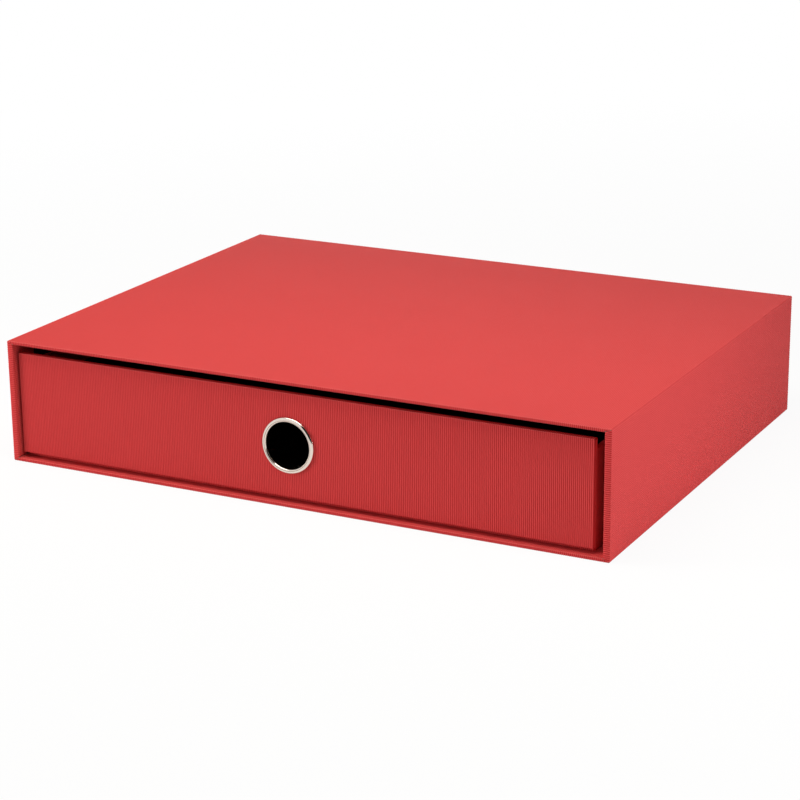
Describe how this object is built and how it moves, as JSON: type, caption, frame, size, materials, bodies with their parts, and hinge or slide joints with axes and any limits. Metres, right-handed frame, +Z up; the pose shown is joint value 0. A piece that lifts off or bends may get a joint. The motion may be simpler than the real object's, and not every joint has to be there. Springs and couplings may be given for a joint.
{
  "type": "file box with drawer",
  "caption": "Low landscape paper box: open-fronted covered-board sleeve with a full-width sliding drawer, pulled by a round metal-ringed finger hole.",
  "frame": {"origin": "middle of the sleeve's underside, on the surface that the box stands on", "axes": "+X to the right seen from the front, along the long side; +Y to the back, so the drawer pulls out along -Y; +Z up"},
  "size_m": [0.335, 0.255, 0.065],
  "materials": {
    "ribbed_cover_paper": "matte",
    "black_lining_paper": "matte",
    "greyboard": "matte",
    "polished_nickel": "polished"
  },
  "bodies": {
    "sleeve": {"sleeve_top_board": "greyboard", "sleeve_base_board": "greyboard", "sleeve_left_board": "greyboard", "sleeve_right_board": "greyboard", "sleeve_back_board": "greyboard", "sleeve_wrap": "ribbed_cover_paper", "sleeve_base_sheet": "ribbed_cover_paper", "sleeve_back_sheet": "ribbed_cover_paper", "sleeve_top_lining": "black_lining_paper", "sleeve_floor_lining": "black_lining_paper", "sleeve_left_lining": "black_lining_paper", "sleeve_right_lining": "black_lining_paper", "sleeve_back_lining": "black_lining_paper"},
    "drawer": {"panel_board": "greyboard", "panel_cover": "ribbed_cover_paper", "panel_backing": "black_lining_paper", "tray_left_board": "greyboard", "tray_right_board": "greyboard", "tray_front_board": "greyboard", "tray_back_board": "greyboard", "tray_floor_board": "greyboard", "tray_cover": "ribbed_cover_paper", "tray_base_sheet": "black_lining_paper", "tray_floor_lining": "black_lining_paper", "tray_left_lining": "black_lining_paper", "tray_right_lining": "black_lining_paper", "tray_front_lining": "black_lining_paper", "tray_back_lining": "black_lining_paper", "finger_ring": "polished_nickel", "ring_washer": "polished_nickel"}
  },
  "joints": [
    {"name": "drawer_slide", "type": "slide", "parent": "sleeve", "child": "drawer", "axis": [0, -1, 0], "range_m": [0, 0.24]}
  ]
}
